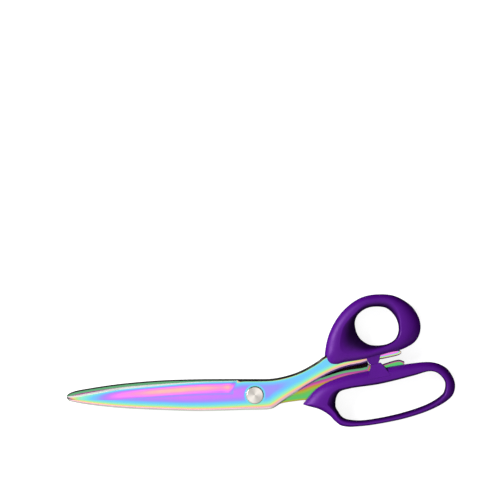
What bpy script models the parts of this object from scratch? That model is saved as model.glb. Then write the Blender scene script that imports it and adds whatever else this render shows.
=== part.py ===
"""Ten-inch tailor's shears: two coated steel leaves on a tension pivot, with moulded bows.

The pivot axis is the world Z axis. The leaves point along -X, the bows lie along +X,
the thumb bow is on the +Y side, and the shears lie on their back on the plane z = 0.
"""

import math

import bmesh
import bpy
import numpy as np
from mathutils import Matrix, Vector

MM = 0.001

# Heights of the stack on the pivot, from the table up.
NUT_THICKNESS = 2.2 * MM
SPRING_WASHER_THICKNESS = 0.7 * MM
LEAF_THICKNESS = 4.0 * MM
SLIP_WASHER_THICKNESS = 0.5 * MM
HEAD_WASHER_THICKNESS = 0.5 * MM
HEAD_THICKNESS = 1.8 * MM
GAP = 0.3 * MM

# Radii on the pivot.
HEAD_RADIUS = 5.75 * MM
PIN_RADIUS = 3.0 * MM
THREAD_RADIUS = 2.5 * MM
NUT_RADIUS = 5.6 * MM
WASHER_RADIUS = 5.2 * MM
COUNTERBORE_DEPTH = 0.4 * MM
SCREW_RIM = 0.3 * MM
NUT_SLOT_COUNT = 4
NUT_SLOT_WIDTH = 1.4 * MM
NUT_SLOT_DEPTH = 1.3 * MM
ROUND_SIDES = 48

# The leaves.
TIP_THICKNESS = 1.5 * MM
LEAF_LENGTH = 123.1 * MM
EDGE_CHAMFER = 0.6 * MM
SPINE_CHAMFER_SLOPE = 0.75
MOST_CHAMFER_SHARE = 0.42
CUTTING_EDGE_THICKNESS = 0.5 * MM
CUTTING_EDGE_LAND = 0.1 * MM
BEVEL_START = -13.0 * MM
BEVEL_END = -9.0 * MM
FULL_THICKNESS_FROM = -25.0 * MM
HOLLOW_DEPTH = 0.35 * MM
BEVEL_SHARE = 0.62
LEAF_STEPS = 4

# The bows.
BOW_THICKNESS = 15.3 * MM
SECTION_ROUNDNESS = 2.6
THUMB_CREST = 0.6
FINGER_CREST = 0.5
BOW_STEPS = 4
BOW_SECTION_STEPS = 8
STOP_THICKNESS = 10.0 * MM
STOP_HALF_GAP = 0.18 * MM
PEG_FLARE = 1.2 * MM
BLOCK_FLARE = 2.6 * MM
FRONT_TANG_ROOM_FROM = 30.0 * MM
REAR_TANG_ROOM_FROM = 20.0 * MM

# How far a cutter reaches past the face that it cuts, and how near two points are merged.
CUTTER_REACH = 6.0 * MM
MERGE_DISTANCE = 0.01 * MM
SHARP_ANGLE = math.radians(35)

SPRING_WASHER_Z = NUT_THICKNESS + GAP
REAR_OUTER_Z = SPRING_WASHER_Z + SPRING_WASHER_THICKNESS + GAP
REAR_INNER_Z = REAR_OUTER_Z + LEAF_THICKNESS
FRONT_INNER_Z = REAR_INNER_Z + GAP
FRONT_OUTER_Z = FRONT_INNER_Z + LEAF_THICKNESS
HEAD_WASHER_Z = FRONT_OUTER_Z + GAP
HEAD_Z = HEAD_WASHER_Z + HEAD_WASHER_THICKNESS + GAP
BOW_CENTRE_Z = BOW_THICKNESS / 2

# Millimetres. Each station of a leaf is (spine x, spine y, edge x, edge y).
FRONT_BLADE = (
    (-123.1, -2.3, -123.0, -1.1),
    (-121.6, -3.9, -121.5, -0.9),
    (-118.0, -4.9, -118.0, -0.5),
    (-107.0, -6.6, -107.0, 1.5),
    (-88.0, -8.5, -88.0, 4.8),
    (-62.0, -9.8, -62.0, 7.1),
    (-36.0, -10.5, -36.0, 8.7),
    (-13.0, -10.0, -13.0, 9.4),
    (-8.0, -9.8, -8.0, 10.2),
)
REAR_BLADE = (
    (-123.1, -0.3, -123.0, -1.5),
    (-121.6, 1.0, -121.5, -1.7),
    (-118.0, 2.4, -118.0, -2.0),
    (-107.0, 4.5, -107.0, -3.7),
    (-88.0, 7.2, -88.0, -6.5),
    (-62.0, 9.4, -62.0, -8.0),
    (-36.0, 10.2, -36.0, -9.0),
    (-13.0, 10.3, -13.0, -9.1),
    (-8.0, 10.3, -8.0, -9.8),
)
FRONT_SHANK = (
    (0.0, -9.7, 0.0, 10.3),
    (8.9, -9.4, 9.0, 10.5),
    (12.0, -8.6, 13.0, 10.9),
    (20.0, -3.1, 20.7, 12.5),
    (33.7, 5.8, 30.5, 16.0),
    (46.8, 13.1, 40.9, 21.9),
    (53.4, 16.2, 45.5, 25.2),
    (61.0, 18.6, 52.5, 26.9),
    (70.4, 20.6, 64.5, 25.6),
    (76.0, 22.5, 74.0, 26.2),
    (84.0, 23.7, 83.0, 27.7),
    (94.2, 26.2, 93.6, 29.6),
    (95.8, 27.4, 95.7, 28.5),
)
REAR_SHANK = (
    (0.0, 10.3, 0.0, -9.7),
    (8.0, 10.1, 8.3, -9.4),
    (12.0, 8.9, 12.0, -8.2),
    (18.7, 6.7, 17.4, -5.6),
    (28.0, 6.9, 28.0, -3.9),
    (36.0, 9.8, 38.5, -2.4),
    (44.3, 13.4, 50.1, 4.0),
    (56.4, 17.8, 62.5, 9.1),
    (68.9, 21.0, 71.3, 11.4),
    (72.9, 22.0, 74.3, 12.2),
    (74.1, 20.3, 75.4, 12.4),
    (75.4, 18.8, 77.0, 12.7),
    (79.0, 18.2, 81.0, 13.4),
    (84.8, 20.4, 86.7, 14.8),
    (94.5, 22.9, 95.0, 17.2),
    (97.9, 21.8, 97.8, 19.4),
)
# Each row is (x, width) of the chamfer between the spine and the face on the other leaf.
FRONT_SPINE_CHAMFER = ((0.0, 0.6),)
REAR_SPINE_CHAMFER = ((38.0, 0.6), (46.0, 2.0), (59.5, 2.7), (70.0, 3.7), (73.6, 4.0), (75.0, 0.6))
# Each station of a bow is (outside x, outside y, hole x, hole y).
THUMB_BOW = (
    (45.7, 26.5, 66.2, 41.9),
    (48.6, 40.2, 65.5, 47.7),
    (57.0, 54.3, 68.1, 53.2),
    (70.5, 64.1, 74.9, 57.2),
    (88.5, 65.5, 84.8, 57.2),
    (97.4, 61.9, 89.2, 54.4),
    (104.0, 56.3, 92.3, 50.2),
    (108.1, 48.0, 93.9, 45.2),
    (108.0, 40.6, 93.7, 40.6),
    (104.9, 34.9, 91.8, 36.6),
    (98.7, 30.8, 88.0, 33.9),
    (91.0, 28.0, 83.3, 32.6),
    (73.6, 23.3, 75.3, 32.8),
    (57.9, 20.5, 69.7, 36.0),
    (52.4, 19.0, 68.3, 37.7),
    (48.1, 19.6, 67.3, 39.2),
    (45.9, 22.4, 66.7, 40.6),
)
FINGER_BOW = (
    (31.8, -6.4, 52.8, -6.2),
    (33.1, -3.8, 52.9, -3.6),
    (40.9, 4.5, 55.1, 1.6),
    (54.0, 10.9, 61.9, 4.1),
    (77.6, 16.4, 82.1, 7.2),
    (101.1, 20.4, 103.1, 12.4),
    (114.8, 21.5, 113.9, 15.4),
    (121.4, 19.9, 118.1, 14.9),
    (126.6, 16.3, 121.4, 12.8),
    (130.9, 8.0, 124.5, 8.0),
    (129.9, 0.7, 123.7, 2.1),
    (126.0, -3.6, 121.2, -0.9),
    (115.8, -9.4, 112.6, -6.1),
    (98.5, -15.3, 95.9, -11.8),
    (76.3, -19.7, 76.3, -15.9),
    (66.4, -20.7, 68.4, -16.7),
    (61.0, -20.9, 62.5, -16.3),
    (56.2, -20.0, 59.0, -15.4),
    (52.3, -17.1, 56.4, -13.6),
    (48.6, -13.3, 54.6, -10.9),
    (42.1, -9.4, 53.2, -8.6),
    (36.6, -7.8, 52.8, -7.2),
)
# The stops meet along a line through CONTACT, half a gap from each.
STOP_CONTACT = (77.9, 20.3)
STOP_SLOPE = 0.18
PEG_TOP = ((71.5, 26.5), (84.0, 28.5))
PEG_ENDS = (75.0, 80.9)
BLOCK_FOOT = ((73.9, 10.0), (90.5, 13.5))
BLOCK_ENDS = (76.0, 82.4)

STEEL_FILM = (0.36, 0.62, 0.95)
PLASTIC = (0.075, 0.012, 0.19)
STEEL = (0.72, 0.69, 0.66)


def clear_scene():
    """Remove everything that the scene starts with."""
    for obj in list(bpy.data.objects):
        bpy.data.objects.remove(obj, do_unlink=True)


def metres(rows):
    """Rows of millimetres as rows of metres."""
    return [tuple(value * MM for value in row) for row in rows]


def smooth(rows, steps, closed=False):
    """Rows on a smooth curve through the given rows, with the given steps between two."""
    count = len(rows)
    spans = count if closed else count - 1

    def row(index):
        return Vector(rows[index % count if closed else min(max(index, 0), count - 1)])

    found = []
    for span in range(spans):
        before, start, end, after = (row(span + k) for k in (-1, 0, 1, 2))
        length = math.sqrt((end - start).length)
        length_before = math.sqrt((start - before).length) or length
        length_after = math.sqrt((after - end).length) or length
        chord = (end - start) / length
        chord_before = (start - before) / length_before if before != start else chord
        chord_after = (after - end) / length_after if after != end else chord
        leave = (chord_before * length + chord * length_before) / (length_before + length) * length
        arrive = (chord * length_after + chord_after * length) / (length + length_after) * length
        for step in range(steps):
            u = step / steps
            found.append(
                (2 * u**3 - 3 * u**2 + 1) * start
                + (u**3 - 2 * u**2 + u) * leave
                + (3 * u**2 - 2 * u**3) * end
                + (u**3 - u**2) * arrive
            )
    if not closed:
        found.append(row(count - 1))
    return found


def ease(value, low, high):
    """0 up to low, 1 from high on, and smooth between them."""
    share = min(max((value - low) / (high - low), 0.0), 1.0)
    return share * share * (3 - 2 * share)


def material(name, colour, metallic, roughness):
    """A plain finish."""
    finish = bpy.data.materials.new(name)
    finish.use_nodes = True
    shader = finish.node_tree.nodes["Principled BSDF"]
    shader.inputs["Base Color"].default_value = (*colour, 1.0)
    shader.inputs["Metallic"].default_value = metallic
    shader.inputs["Roughness"].default_value = roughness
    finish.diffuse_color = (*colour, 1.0)
    return finish


def add_object(name, mesh, finish=None):
    """Link a mesh as an object of the scene, shaded smooth between sharp edges."""
    mesh.shade_smooth()
    mesh.set_sharp_from_angle(angle=SHARP_ANGLE)
    obj = bpy.data.objects.new(name, mesh)
    bpy.context.scene.collection.objects.link(obj)
    if finish:
        mesh.materials.append(finish)
    return obj


def mesh_from(name, build):
    """A mesh whose bmesh is filled in by the given function, with its faces turned out."""
    solid = bmesh.new()
    build(solid)
    bmesh.ops.recalc_face_normals(solid, faces=solid.faces)
    mesh = bpy.data.meshes.new(name)
    solid.to_mesh(mesh)
    solid.free()
    return mesh


def bridge(solid, rings, closed=False):
    """Join rings of points, each to the next, and cap the two ends unless they meet."""
    made = [[solid.verts.new(point) for point in ring] for ring in rings]
    pairs = list(zip(made, made[1:]))
    if closed:
        pairs.append((made[-1], made[0]))
    for first, second in pairs:
        for index in range(len(first)):
            after = (index + 1) % len(first)
            solid.faces.new((first[index], first[after], second[after], second[index]))
    if not closed:
        solid.faces.new(made[0])
        solid.faces.new(made[-1])


def leaf_section(station, spine_chamfer, inner_z, outward):
    """One cross-section of a leaf, from its spine over the outer face to the edge and back."""
    spine = Vector(station[:2])
    edge = Vector(station[2:])
    width = (edge - spine).length
    middle = (spine.x + edge.x) / 2
    across = (edge - spine) / width
    thickness = TIP_THICKNESS + (LEAF_THICKNESS - TIP_THICKNESS) * ease(
        middle, -LEAF_LENGTH, FULL_THICKNESS_FROM
    )
    blade = 1 - ease(middle, BEVEL_START, BEVEL_END)
    chamfer = min(EDGE_CHAMFER, width / 5)
    spine_width = float(np.interp(middle, *zip(*metres(spine_chamfer))))
    spine_width = min(spine_width, MOST_CHAMFER_SHARE * width)
    spine_height = spine_width * SPINE_CHAMFER_SLOPE
    bevel = max(chamfer, blade * BEVEL_SHARE * width)
    edge_height = thickness - chamfer - blade * (thickness - chamfer - CUTTING_EDGE_THICKNESS)
    hollow = (thickness + edge_height) / 2 - blade * HOLLOW_DEPTH
    inner_chamfer = chamfer * (1 - blade)
    outline = (
        (0.0, spine_height),
        (0.0, thickness - chamfer),
        (chamfer, thickness),
        (width - bevel, thickness),
        (width - bevel / 2, hollow if blade > 0 else thickness - chamfer / 2),
        (width, edge_height),
        (width, inner_chamfer + CUTTING_EDGE_LAND * blade),
        (width - inner_chamfer - CUTTING_EDGE_LAND, 0.0),
        (spine_width, 0.0),
    )
    return [
        (spine.x + across.x * u, spine.y + across.y * u, inner_z + outward * height)
        for u, height in outline
    ]


def leaf_stations(blade, shank):
    """All the stations of a leaf, from its tip to the end of its tang."""
    return smooth(metres(blade + shank), LEAF_STEPS)


def leaf_mesh(name, stations, spine_chamfer, inner_z, outward):
    """A leaf as one lofted solid."""
    rings = [leaf_section(station, spine_chamfer, inner_z, outward) for station in stations]
    return mesh_from(name, lambda solid: bridge(solid, rings))


def grown(station, margin):
    """A station with its two points moved apart."""
    spine = Vector(station[:2])
    edge = Vector(station[2:])
    out = (edge - spine).normalized() * margin
    return (*(spine - out), *(edge + out))


def tang_cutter(name, stations, inner_z, outward, start):
    """The room that a tang needs inside its bow, with the gap all round."""
    kept = [grown(station, GAP) for station in stations if station[0] > start]
    spine, edge = Vector(kept[-1][:2]), Vector(kept[-1][2:])
    beyond = (spine + edge) / 2 - (Vector(kept[-2][:2]) + Vector(kept[-2][2:])) / 2
    beyond = beyond.normalized() * GAP * 2
    kept.append((*(spine + beyond), *(edge + beyond)))
    low = inner_z - outward * GAP
    high = inner_z + outward * (LEAF_THICKNESS + GAP)
    rings = []
    for row in kept:
        spine, edge = row[:2], row[2:]
        rings.append([(*spine, low), (*spine, high), (*edge, high), (*edge, low)])
    return cutter(name, mesh_from(name, lambda solid: bridge(solid, rings)))


def turned(name, profile):
    """A solid of revolution from (radius, height) points: a loop, or a line from axis to axis."""
    from_axis = profile[0][0] == 0.0

    def build(solid):
        points = [solid.verts.new((radius, 0.0, height)) for radius, height in profile]
        ends = points[1:] if from_axis else points[1:] + points[:1]
        edges = [solid.edges.new(pair) for pair in zip(points, ends)]
        bmesh.ops.spin(
            solid,
            geom=points + edges,
            cent=(0, 0, 0),
            axis=(0, 0, 1),
            angle=math.tau,
            steps=ROUND_SIDES,
            use_merge=True,
            use_duplicate=False,
        )
        bmesh.ops.remove_doubles(solid, verts=solid.verts, dist=MERGE_DISTANCE)

    return mesh_from(name, build)


def disc(name, radius, low, high):
    """A round plate on the pivot axis."""

    def build(solid):
        bmesh.ops.create_cone(
            solid,
            cap_ends=True,
            segments=ROUND_SIDES,
            radius1=radius,
            radius2=radius,
            depth=high - low,
            matrix=Matrix.Translation((0, 0, (low + high) / 2)),
        )

    return mesh_from(name, build)


def cutter(name, mesh):
    """A helper for Booleans, which is never rendered."""
    obj = bpy.data.objects.new(name, mesh)
    bpy.context.scene.collection.objects.link(obj)
    obj.hide_render = True
    obj.display_type = "WIRE"
    return obj


def boolean(obj, other, operation="DIFFERENCE"):
    """Cut from, or join to, an object with the exact solver."""
    modifier = obj.modifiers.new(operation.title(), "BOOLEAN")
    modifier.operation = operation
    modifier.object = other
    modifier.solver = "EXACT"


def dome(share, crest):
    """Height of a bow's face, 0 to 1, at a share of the way from its outside to its hole."""
    reach = share / crest if share < crest else (1 - share) / (1 - crest)
    return (1 - (1 - reach) ** SECTION_ROUNDNESS) ** (1 / SECTION_ROUNDNESS)


def bow_mesh(name, rows, crest):
    """A bow as a closed loft round its hole, domed on both faces."""
    turns = [math.pi * step / BOW_SECTION_STEPS for step in range(BOW_SECTION_STEPS + 1)]
    shares = [0.5 - 0.5 * math.cos(turn) for turn in turns]
    around = [(share, dome(share, crest)) for share in shares]
    around += [(share, -dome(share, crest)) for share in shares[-2:0:-1]]
    rings = []
    for row in smooth(metres(rows), BOW_STEPS, closed=True):
        outside = Vector(row[:2])
        hole = Vector(row[2:])
        rings.append(
            [
                (*(outside + (hole - outside) * share), BOW_CENTRE_Z * (1 + height))
                for share, height in around
            ]
        )
    return mesh_from(name, lambda solid: bridge(solid, rings, closed=True))


def stop_line(x, side):
    """The height in Y of one face of the stops, on its own side of the gap."""
    return (STOP_CONTACT[1] + STOP_SLOPE * (x - STOP_CONTACT[0])) * MM + side * STOP_HALF_GAP


def stop_mesh(name, foot, ends, side, flare):
    """A tapered stop between its foot in the bow and the face that meets the other stop."""
    face = [(x * MM, stop_line(x, side)) for x in ends]
    half = STOP_THICKNESS / 2
    rings = []
    for (start, end), reach in ((face, half), (metres(foot), half + flare)):
        low, high = BOW_CENTRE_Z - reach, BOW_CENTRE_Z + reach
        rings.append([(*start, low), (*end, low), (*end, high), (*start, high)])
    return mesh_from(name, lambda solid: bridge(solid, rings))


def make_leaf(name, stations, spine_chamfer, inner_z, outward, finish):
    """A leaf with its pivot hole and the counterbore for the slip washer."""
    mesh = leaf_mesh(name, stations, spine_chamfer, inner_z, outward)
    leaf = add_object(name, mesh, finish)
    hole_name = name + "_hole"
    hole_ends = (inner_z - CUTTER_REACH, inner_z + CUTTER_REACH)
    boolean(leaf, cutter(hole_name, disc(hole_name, PIN_RADIUS + GAP, *hole_ends)))
    bore_name = name + "_counterbore"
    bore_ends = sorted((inner_z - outward * CUTTER_REACH, inner_z + outward * COUNTERBORE_DEPTH))
    boolean(leaf, cutter(bore_name, disc(bore_name, WASHER_RADIUS + GAP, *bore_ends)))
    return leaf


def make_bow(name, rows, crest, stop, tang, finish):
    """A bow joined to its stop, with the slot for its tang."""
    bow = add_object(name, bow_mesh(name, rows, crest), finish)
    boolean(bow, cutter(name + "_stop", stop), "UNION")
    boolean(bow, tang)
    return bow


def make_washer(name, low, thickness, finish):
    """A flat washer on the pivot pin."""
    inner = PIN_RADIUS + GAP
    high = low + thickness
    profile = ((inner, low), (WASHER_RADIUS, low), (WASHER_RADIUS, high), (inner, high))
    return add_object(name, turned(name, profile), finish)


def make_screw(finish):
    """The pivot screw: a flat round head, the pin through the leaves and the threaded end."""
    top = HEAD_Z + HEAD_THICKNESS
    profile = (
        (0.0, 0.0),
        (THREAD_RADIUS - SCREW_RIM, 0.0),
        (THREAD_RADIUS, SCREW_RIM),
        (THREAD_RADIUS, SPRING_WASHER_Z),
        (PIN_RADIUS, SPRING_WASHER_Z + SCREW_RIM),
        (PIN_RADIUS, HEAD_Z),
        (HEAD_RADIUS, HEAD_Z),
        (HEAD_RADIUS, top - SCREW_RIM),
        (HEAD_RADIUS - SCREW_RIM, top),
        (0.0, top),
    )
    return add_object("pivot_screw", turned("pivot_screw", profile), finish)


def slot_mesh(name, turn):
    """One slot of the nut's rim, turned about the pivot axis."""
    size = (2 * NUT_SLOT_DEPTH, NUT_SLOT_WIDTH, NUT_THICKNESS + 2 * CUTTER_REACH)

    def build(solid):
        bmesh.ops.create_cube(solid, size=1.0)
        bmesh.ops.scale(solid, vec=size, verts=solid.verts)
        bmesh.ops.translate(solid, vec=(NUT_RADIUS, 0, NUT_THICKNESS / 2), verts=solid.verts)
        bmesh.ops.rotate(solid, matrix=Matrix.Rotation(turn, 3, "Z"), verts=solid.verts)

    return mesh_from(name, build)


def make_nut(finish):
    """The round nut, with slots round its rim for a pin spanner."""
    bore = THREAD_RADIUS + GAP
    profile = ((bore, 0.0), (NUT_RADIUS, 0.0), (NUT_RADIUS, NUT_THICKNESS), (bore, NUT_THICKNESS))
    nut = add_object("tension_nut", turned("tension_nut", profile), finish)
    for index in range(NUT_SLOT_COUNT):
        name = f"nut_slot_{index}"
        turn = (index + 0.5) * math.tau / NUT_SLOT_COUNT
        boolean(nut, cutter(name, slot_mesh(name, turn)))
    return nut


def main():
    """Build the shears."""
    clear_scene()
    film = material("titanium_film", STEEL_FILM, 1.0, 0.22)
    plastic = material("handle_plastic", PLASTIC, 0.0, 0.38)
    steel = material("turned_steel", STEEL, 1.0, 0.3)

    front = leaf_stations(FRONT_BLADE, FRONT_SHANK)
    rear = leaf_stations(REAR_BLADE, REAR_SHANK)
    opening_side = [
        make_leaf("front_blade", front, FRONT_SPINE_CHAMFER, FRONT_INNER_Z, 1, film),
        make_bow(
            "thumb_handle",
            THUMB_BOW,
            THUMB_CREST,
            stop_mesh("peg", PEG_TOP, PEG_ENDS, 1, PEG_FLARE),
            tang_cutter("front_tang_room", front, FRONT_INNER_Z, 1, FRONT_TANG_ROOM_FROM),
            plastic,
        ),
        make_screw(steel),
        make_washer("head_washer", HEAD_WASHER_Z, HEAD_WASHER_THICKNESS, steel),
        make_nut(steel),
    ]
    make_leaf("rear_blade", rear, REAR_SPINE_CHAMFER, REAR_INNER_Z, -1, film)
    make_bow(
        "finger_handle",
        FINGER_BOW,
        FINGER_CREST,
        stop_mesh("block", BLOCK_FOOT, BLOCK_ENDS, -1, BLOCK_FLARE),
        tang_cutter("rear_tang_room", rear, REAR_INNER_Z, -1, REAR_TANG_ROOM_FROM),
        plastic,
    )
    middle = (REAR_INNER_Z + FRONT_INNER_Z - SLIP_WASHER_THICKNESS) / 2
    make_washer("slip_washer", middle, SLIP_WASHER_THICKNESS, steel)
    make_washer("spring_washer", SPRING_WASHER_Z, SPRING_WASHER_THICKNESS, steel)

    pivot = bpy.data.objects.new("pivot_axis", None)
    bpy.context.scene.collection.objects.link(pivot)
    for piece in opening_side:
        piece.parent = pivot


main()
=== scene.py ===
"""Looks of the tailor's shears: two iridescent leaves on a tension pivot, in moulded bows."""

import logging
import math
from dataclasses import dataclass, field
from enum import Enum

import bpy
import numpy as np
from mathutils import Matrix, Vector, kdtree


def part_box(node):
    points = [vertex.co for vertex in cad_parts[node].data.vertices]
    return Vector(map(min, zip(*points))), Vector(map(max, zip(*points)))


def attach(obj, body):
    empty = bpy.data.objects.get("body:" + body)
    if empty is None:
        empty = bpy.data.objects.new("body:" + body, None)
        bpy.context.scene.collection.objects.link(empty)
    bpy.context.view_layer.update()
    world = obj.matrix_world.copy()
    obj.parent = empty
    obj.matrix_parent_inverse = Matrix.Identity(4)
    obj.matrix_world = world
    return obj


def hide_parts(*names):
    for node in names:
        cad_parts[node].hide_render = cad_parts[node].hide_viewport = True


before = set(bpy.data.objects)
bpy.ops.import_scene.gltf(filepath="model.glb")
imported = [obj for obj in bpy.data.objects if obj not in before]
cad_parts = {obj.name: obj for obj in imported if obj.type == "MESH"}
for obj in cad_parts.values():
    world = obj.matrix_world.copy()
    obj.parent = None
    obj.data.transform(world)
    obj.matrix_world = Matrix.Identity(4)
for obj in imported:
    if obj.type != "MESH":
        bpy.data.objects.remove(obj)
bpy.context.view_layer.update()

MM = 0.001
WHITE = (1.0, 1.0, 1.0, 1.0)
LOG = logging.getLogger("shears")

Row = tuple[float, ...]
Rows = tuple[Row, ...]


class Slot(Enum):
    """The material slots of the record."""

    COATED = "coated_steel"
    PLASTIC = "handle_plastic"
    TURNED = "turned_steel"
    WASHER = "washer_steel"


class Body(Enum):
    """The three bodies that move against each other."""

    FINGER = "finger_half"
    THUMB = "thumb_half"
    NUT = "nut"


class SteelLook(Enum):
    """How a bare steel face was worked."""

    SPUN = "spun"
    ROLLED = "rolled"


# ---------------------------------------------------------------- curves


def smooth(rows: Rows, steps: int | tuple[int, ...], closed: bool = False) -> np.ndarray:
    """Sample a smooth curve through rows of numbers.

    Args:
        rows: the rows that the curve passes through.
        steps: samples between two rows, one number for all spans or one for each.
        closed: whether the curve returns to its first row.

    Returns:
        One sampled row a line.
    """
    points = np.array(rows, float)
    count = len(points)
    spans = count if closed else count - 1
    each = (steps,) * spans if isinstance(steps, int) else steps

    def at(index: int) -> np.ndarray:
        """The row at an index that may lie past either end."""
        return points[index % count] if closed else points[min(max(index, 0), count - 1)]

    found = []
    for span in range(spans):
        before, start, end, after = (at(span + k) for k in (-1, 0, 1, 2))
        gap = math.sqrt(np.linalg.norm(end - start))
        gap_before = math.sqrt(np.linalg.norm(start - before)) or gap
        gap_after = math.sqrt(np.linalg.norm(after - end)) or gap
        chord = (end - start) / gap
        chord_before = (start - before) / gap_before if np.any(before != start) else chord
        chord_after = (after - end) / gap_after if np.any(after != end) else chord
        leave = (chord_before * gap + chord * gap_before) / (gap_before + gap) * gap
        arrive = (chord * gap_after + chord_after * gap) / (gap + gap_after) * gap
        for step in range(each[span]):
            u = step / each[span]
            found.append(
                (2 * u**3 - 3 * u**2 + 1) * start
                + (u**3 - 2 * u**2 + u) * leave
                + (3 * u**2 - 2 * u**3) * end
                + (u**3 - u**2) * arrive
            )
    if not closed:
        found.append(points[-1])
    return np.array(found)


def ease(value: np.ndarray | float, low: float, high: float) -> np.ndarray:
    """0 up to low, 1 from high on, and smooth between them."""
    share = np.clip((np.asarray(value, float) - low) / (high - low), 0.0, 1.0)
    return share * share * (3 - 2 * share)


def look_up(value: np.ndarray | float, rows: Rows) -> np.ndarray | float:
    """Read a value off (place, value) rows, straight between them and level past the ends."""
    return np.interp(value, *zip(*rows))


def lesser(first: np.ndarray, second: np.ndarray, sharpness: float = 28.0) -> np.ndarray:
    """The smaller of two values, rounded off where they are close."""
    return -np.logaddexp(-sharpness * first, -sharpness * second) / sharpness


def distance_to(points: np.ndarray, line: np.ndarray) -> np.ndarray:
    """Distance of each point from an open line of short pieces, in the plane.

    Args:
        points: one x, y pair a line.
        line: the line's own x, y pairs.

    Returns:
        One distance a point.
    """
    start, end = line[:-1], line[1:]
    along = end - start
    lengths = np.maximum((along**2).sum(1), 1e-18)
    best = np.full(len(points), np.inf)
    for a, d, square in zip(start, along, lengths):
        share = np.clip(((points - a) @ d) / square, 0, 1)
        best = np.minimum(best, np.linalg.norm(points - a - share[:, None] * d, axis=1))
    return best


# ---------------------------------------------------------------- bench


class Bench:
    """Small jobs with Blender's own operators, each leaving one piece selected and active."""

    @staticmethod
    def clear() -> None:
        """Deselect everything."""
        bpy.ops.object.select_all(action="DESELECT")

    @staticmethod
    def take(piece: bpy.types.Object) -> bpy.types.Object:
        """Select one piece only and make it active.

        Args:
            piece: the piece to work on.

        Returns:
            The same piece.
        """
        Bench.clear()
        piece.select_set(True)
        bpy.context.view_layer.objects.active = piece
        return piece

    @staticmethod
    def name(piece: bpy.types.Object, name: str) -> bpy.types.Object:
        """Name a piece and its mesh.

        Args:
            piece: the piece.
            name: its new name.

        Returns:
            The same piece.
        """
        piece.name = name
        piece.data.name = name
        return piece

    @staticmethod
    def place(piece: bpy.types.Object, points: np.ndarray) -> None:
        """Move a mesh's vertices to the given points, in order."""
        piece.data.vertices.foreach_set("co", np.asarray(points, np.float32).ravel())
        piece.data.update()

    @staticmethod
    def tidy(piece: bpy.types.Object, near: float = 1e-6) -> None:
        """Merge doubled points and turn all faces outwards.

        Args:
            piece: the mesh to work on.
            near: the distance under which points are one, in metres.
        """
        Bench.take(piece)
        bpy.ops.object.mode_set(mode="EDIT")
        bpy.ops.mesh.select_all(action="SELECT")
        bpy.ops.mesh.remove_doubles(threshold=near)
        bpy.ops.mesh.normals_make_consistent(inside=False)
        bpy.ops.object.mode_set(mode="OBJECT")

    @staticmethod
    def shade(piece: bpy.types.Object, degrees: float = 28.0) -> None:
        """Shade smooth, with edges sharper than an angle kept crisp."""
        Bench.take(piece)
        bpy.ops.object.shade_smooth_by_angle(angle=math.radians(degrees))

    @staticmethod
    def boolean(
        piece: bpy.types.Object, other: bpy.types.Object, operation: str = "DIFFERENCE"
    ) -> None:
        """Cut another solid from a piece, or join it on, and remove the other solid.

        Args:
            piece: the piece that stays.
            other: the solid that is used up.
            operation: the modifier's operation.
        """
        Bench.take(piece)
        modifier = piece.modifiers.new("Cut", "BOOLEAN")
        modifier.operation = operation
        modifier.solver = "EXACT"
        modifier.object = other
        bpy.ops.object.modifier_apply(modifier=modifier.name)
        bpy.data.objects.remove(other, do_unlink=True)

    @staticmethod
    def cylinder(radius: float, low: float, high: float, sides: int = 96) -> bpy.types.Object:
        """Add a round cutter on the pivot axis.

        Args:
            radius: its radius, in metres.
            low: height of its lower end.
            high: height of its upper end.
            sides: number of its sides.

        Returns:
            The cutter.
        """
        Bench.clear()
        bpy.ops.mesh.primitive_cylinder_add(
            vertices=sides, radius=radius, depth=high - low, location=(0, 0, (low + high) / 2)
        )
        bpy.ops.object.transform_apply(location=True, rotation=True, scale=True)
        return bpy.context.object

    @staticmethod
    def lofted(name: str, rings: np.ndarray) -> bpy.types.Object:
        """Draw a grid out through rings of points and close its two ends.

        Args:
            name: name of the piece.
            rings: one ring a row, in millimetres, each ending at its first point.

        Returns:
            The closed piece, at the origin.
        """
        Bench.clear()
        bpy.ops.mesh.primitive_grid_add(
            x_subdivisions=rings.shape[1] - 1, y_subdivisions=rings.shape[0] - 1, size=1.0
        )
        piece = Bench.name(bpy.context.object, name)
        Bench.place(piece, rings.reshape(-1, 3) * MM)
        Bench.tidy(piece)
        bpy.ops.object.mode_set(mode="EDIT")
        bpy.ops.mesh.select_mode(type="EDGE")
        bpy.ops.mesh.select_all(action="DESELECT")
        bpy.ops.mesh.select_non_manifold(extend=False, use_wire=False, use_multi_face=False)
        bpy.ops.mesh.edge_face_add()
        bpy.ops.mesh.select_all(action="SELECT")
        bpy.ops.mesh.normals_make_consistent(inside=False)
        bpy.ops.object.mode_set(mode="OBJECT")
        return piece

    @staticmethod
    def turned(name: str, profile: Rows, sides: int = 96) -> bpy.types.Object:
        """Spin a closed profile round the pivot axis.

        Args:
            name: name of the piece.
            profile: (radius, height) points in order round the section.
            sides: steps of the turn.

        Returns:
            The finished piece, at the origin.
        """
        Bench.clear()
        bpy.ops.mesh.primitive_circle_add(vertices=len(profile), radius=MM, fill_type="NOTHING")
        piece = Bench.name(bpy.context.object, name)
        Bench.place(piece, np.array([(radius, 0.0, height) for radius, height in profile]))
        bpy.ops.object.mode_set(mode="EDIT")
        bpy.ops.mesh.select_all(action="SELECT")
        bpy.ops.mesh.spin(steps=sides, angle=math.tau, center=(0, 0, 0), axis=(0, 0, 1))
        bpy.ops.object.mode_set(mode="OBJECT")
        Bench.tidy(piece, 2e-6)
        bpy.ops.object.mode_set(mode="EDIT")
        bpy.ops.mesh.delete_loose()
        bpy.ops.object.mode_set(mode="OBJECT")
        return piece

    @staticmethod
    def attribute(piece: bpy.types.Object, name: str, values: np.ndarray) -> None:
        """Store one number a vertex."""
        layer = piece.data.attributes.new(name, "FLOAT", "POINT")
        layer.data.foreach_set("value", np.asarray(values, np.float32))

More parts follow.
